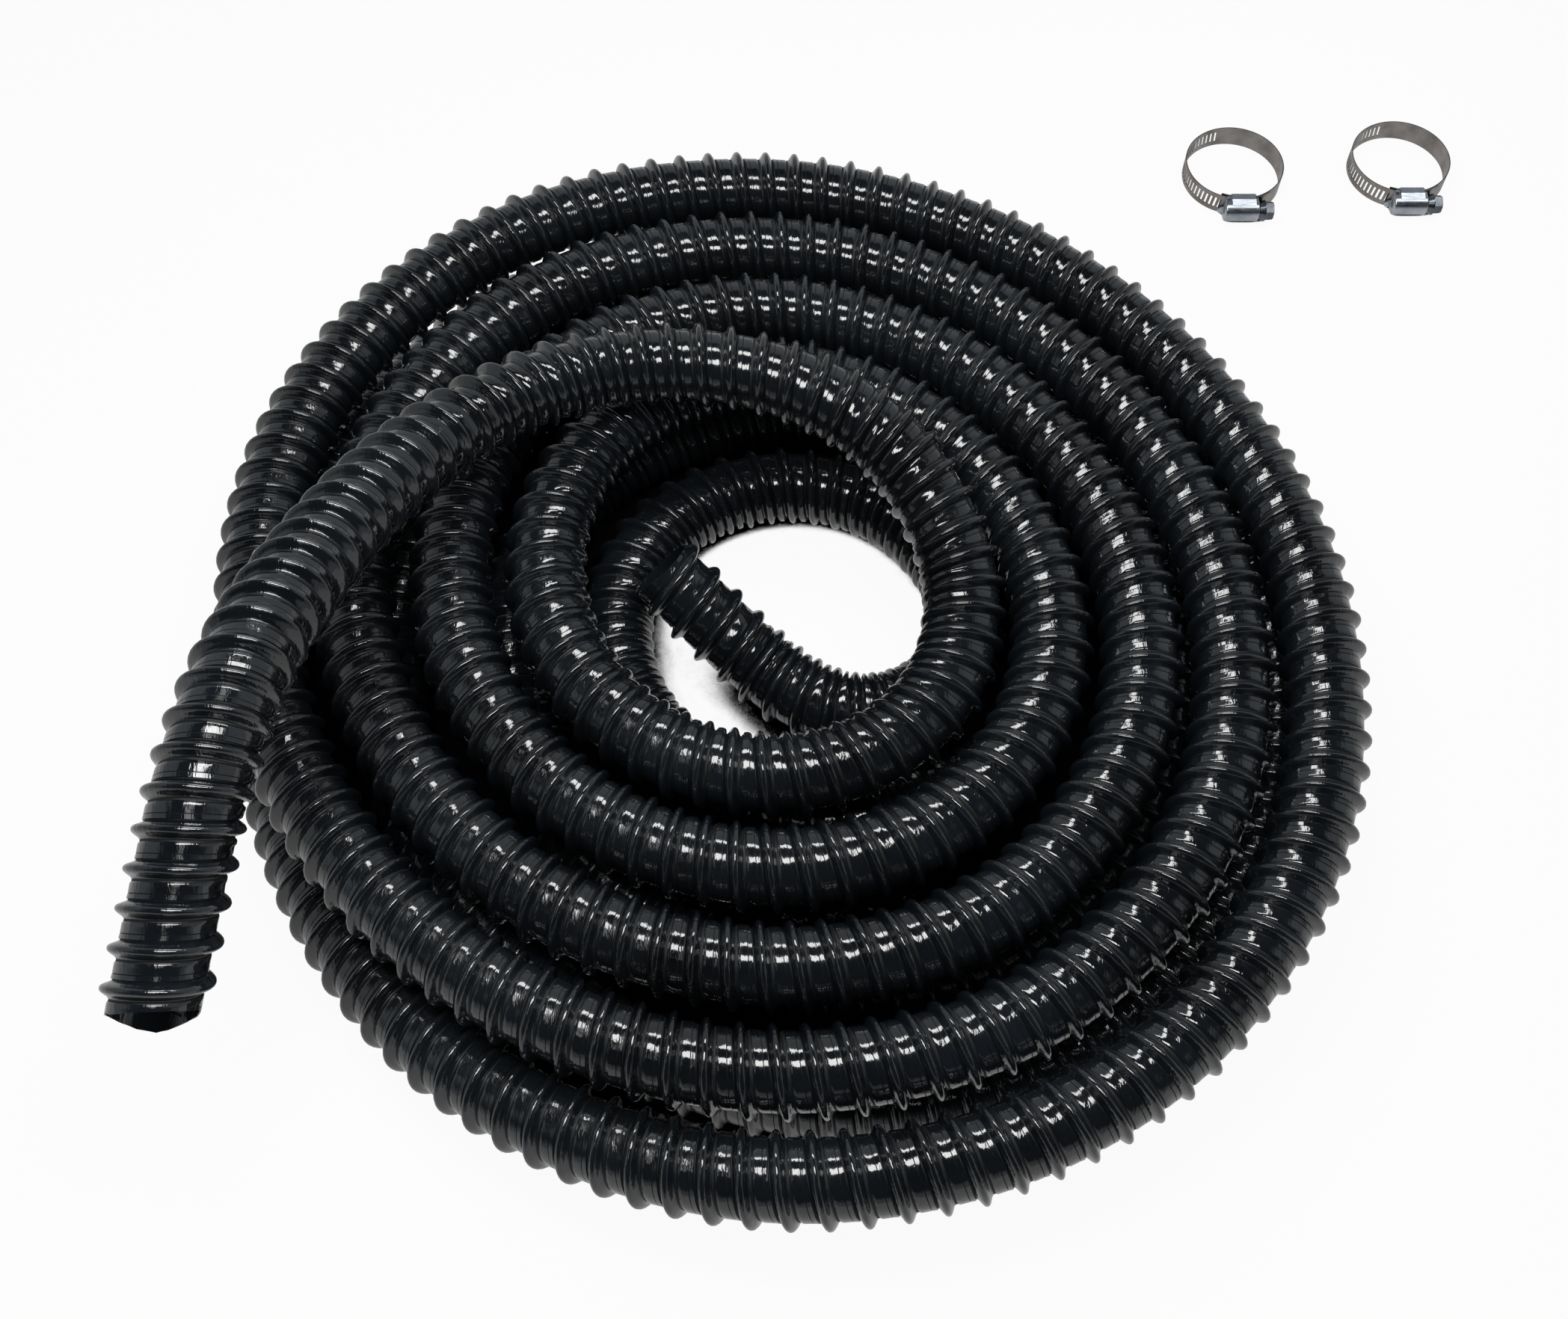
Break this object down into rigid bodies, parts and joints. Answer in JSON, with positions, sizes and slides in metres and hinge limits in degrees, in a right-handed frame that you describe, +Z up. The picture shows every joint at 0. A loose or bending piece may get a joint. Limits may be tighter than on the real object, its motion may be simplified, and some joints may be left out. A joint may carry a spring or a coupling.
{
  "type": "sewer hose kit",
  "caption": "Coiled ribbed black drain hose for a caravan's waste outlet, lying flat in stacked turns, with loose worm-drive band clamps beside it.",
  "frame": {"origin": "centre of the whole kit's footprint, on the floor that it lies on", "axes": "+Z up, the coil lies flat; +X the way the clamps' screw heads point; +Y away from the side on which the hose's outer end hangs over the coil"},
  "size_m": [0.6625, 0.6515, 0.2088],
  "materials": {
    "hose": "glossy extruded black vinyl",
    "band_steel": "rolled bright stainless strip",
    "housing_steel": "pressed bright stainless",
    "screw_steel": "bright zinc-plated steel"
  },
  "bodies": {
    "hose": {"hose_outer_end": "hose", "hose_crossing": "hose", "hose_upper_coil": "hose", "hose_return": "hose", "hose_lower_coil": "hose", "hose_inner_run": "hose", "hose_inner_end": "hose"},
    "clamp_a": {"clamp_a_band": "band_steel", "clamp_a_housing": "housing_steel", "clamp_a_saddle": "band_steel"},
    "clamp_a_screw": {"clamp_a_screw": "screw_steel"},
    "clamp_b": {"clamp_b_band": "band_steel", "clamp_b_housing": "housing_steel", "clamp_b_saddle": "band_steel"},
    "clamp_b_screw": {"clamp_b_screw": "screw_steel"}
  },
  "joints": [
    {"name": "clamp_a_lift", "type": "slide", "parent": "hose", "child": "clamp_a", "axis": [0, 0, 1], "range_m": [0, 0.25]},
    {"name": "clamp_b_lift", "type": "slide", "parent": "hose", "child": "clamp_b", "axis": [0, 0, 1], "range_m": [0, 0.25]},
    {"name": "clamp_a_screw_turn", "type": "hinge", "parent": "clamp_a", "child": "clamp_a_screw", "pos_m": [0.20447, 0.26049, 0.00705], "axis": [-1, 0, 0], "range_deg": [0, 7200], "deforming": ["clamp_a_band"]},
    {"name": "clamp_b_screw_turn", "type": "hinge", "parent": "clamp_b", "child": "clamp_b_screw", "pos_m": [0.30277, 0.26549, 0.00705], "axis": [-1, 0, 0], "range_deg": [0, 7200], "deforming": ["clamp_b_band"]}
  ]
}
